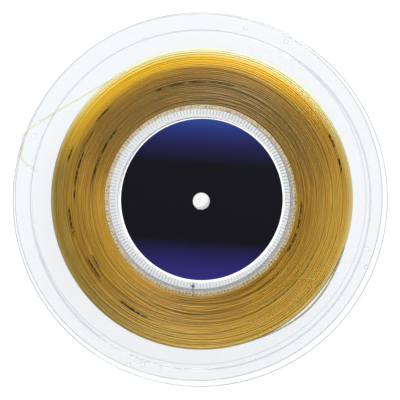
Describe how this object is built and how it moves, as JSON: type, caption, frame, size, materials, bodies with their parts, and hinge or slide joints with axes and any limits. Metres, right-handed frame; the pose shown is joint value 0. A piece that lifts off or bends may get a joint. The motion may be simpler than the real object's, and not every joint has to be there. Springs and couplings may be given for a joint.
{
  "type": "string reel",
  "caption": "Flat clear-plastic reel full of amber racket string, with stepped rims, a ribbed hub, round labels and a spindle bore.",
  "frame": {"origin": "centre of the plane that the rear flange's rim rests on, on the reel's axis", "axes": "+Z along the reel's axis out of the front flange, +X and +Y across the flanges"},
  "size_m": [0.256, 0.256, 0.0274],
  "materials": {
    "clear_plastic": "clear, polished, faintly blue-grey",
    "drum_plastic": "clear, polished",
    "label": "printed near-black navy with blue gradients, light varnish",
    "string": "glossy, slightly translucent amber"
  },
  "bodies": {
    "root": {"front_flange": "clear_plastic", "rear_flange": "clear_plastic", "hub_drum": "drum_plastic", "front_label": "label", "rear_label": "label", "string_pack": "string", "string_outer_turns": "string", "string_tail": "string", "string_inner_end": "string"}
  },
  "joints": []
}
